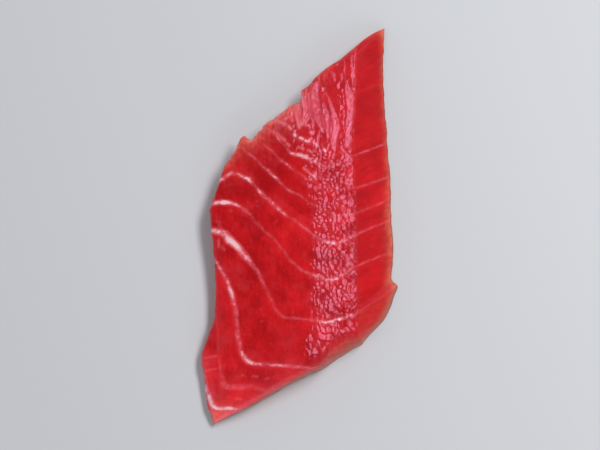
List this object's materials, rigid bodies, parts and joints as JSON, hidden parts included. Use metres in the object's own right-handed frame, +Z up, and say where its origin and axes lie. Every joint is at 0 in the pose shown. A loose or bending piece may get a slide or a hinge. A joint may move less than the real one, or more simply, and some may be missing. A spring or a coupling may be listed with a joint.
{
  "type": "tuna sashimi",
  "caption": "Slice of raw tuna cut obliquely from a block: a sheared slab with level cut faces, leaning sides, pointed ends and pale muscle bands, lying flat.",
  "frame": {"origin": "under the middle of the slice's outline, in the plane that it lies on", "axes": "+Z up from the lower cut face, +Y from the near pointed tip to the far pointed tip, +X towards the sloping side below the ridge"},
  "size_m": [0.0426, 0.0918, 0.0074],
  "materials": {
    "tuna_flesh": "wet raw red flesh with pale bands, softly glossy"
  },
  "bodies": {
    "root": {"tuna_slice": "tuna_flesh"}
  },
  "joints": []
}
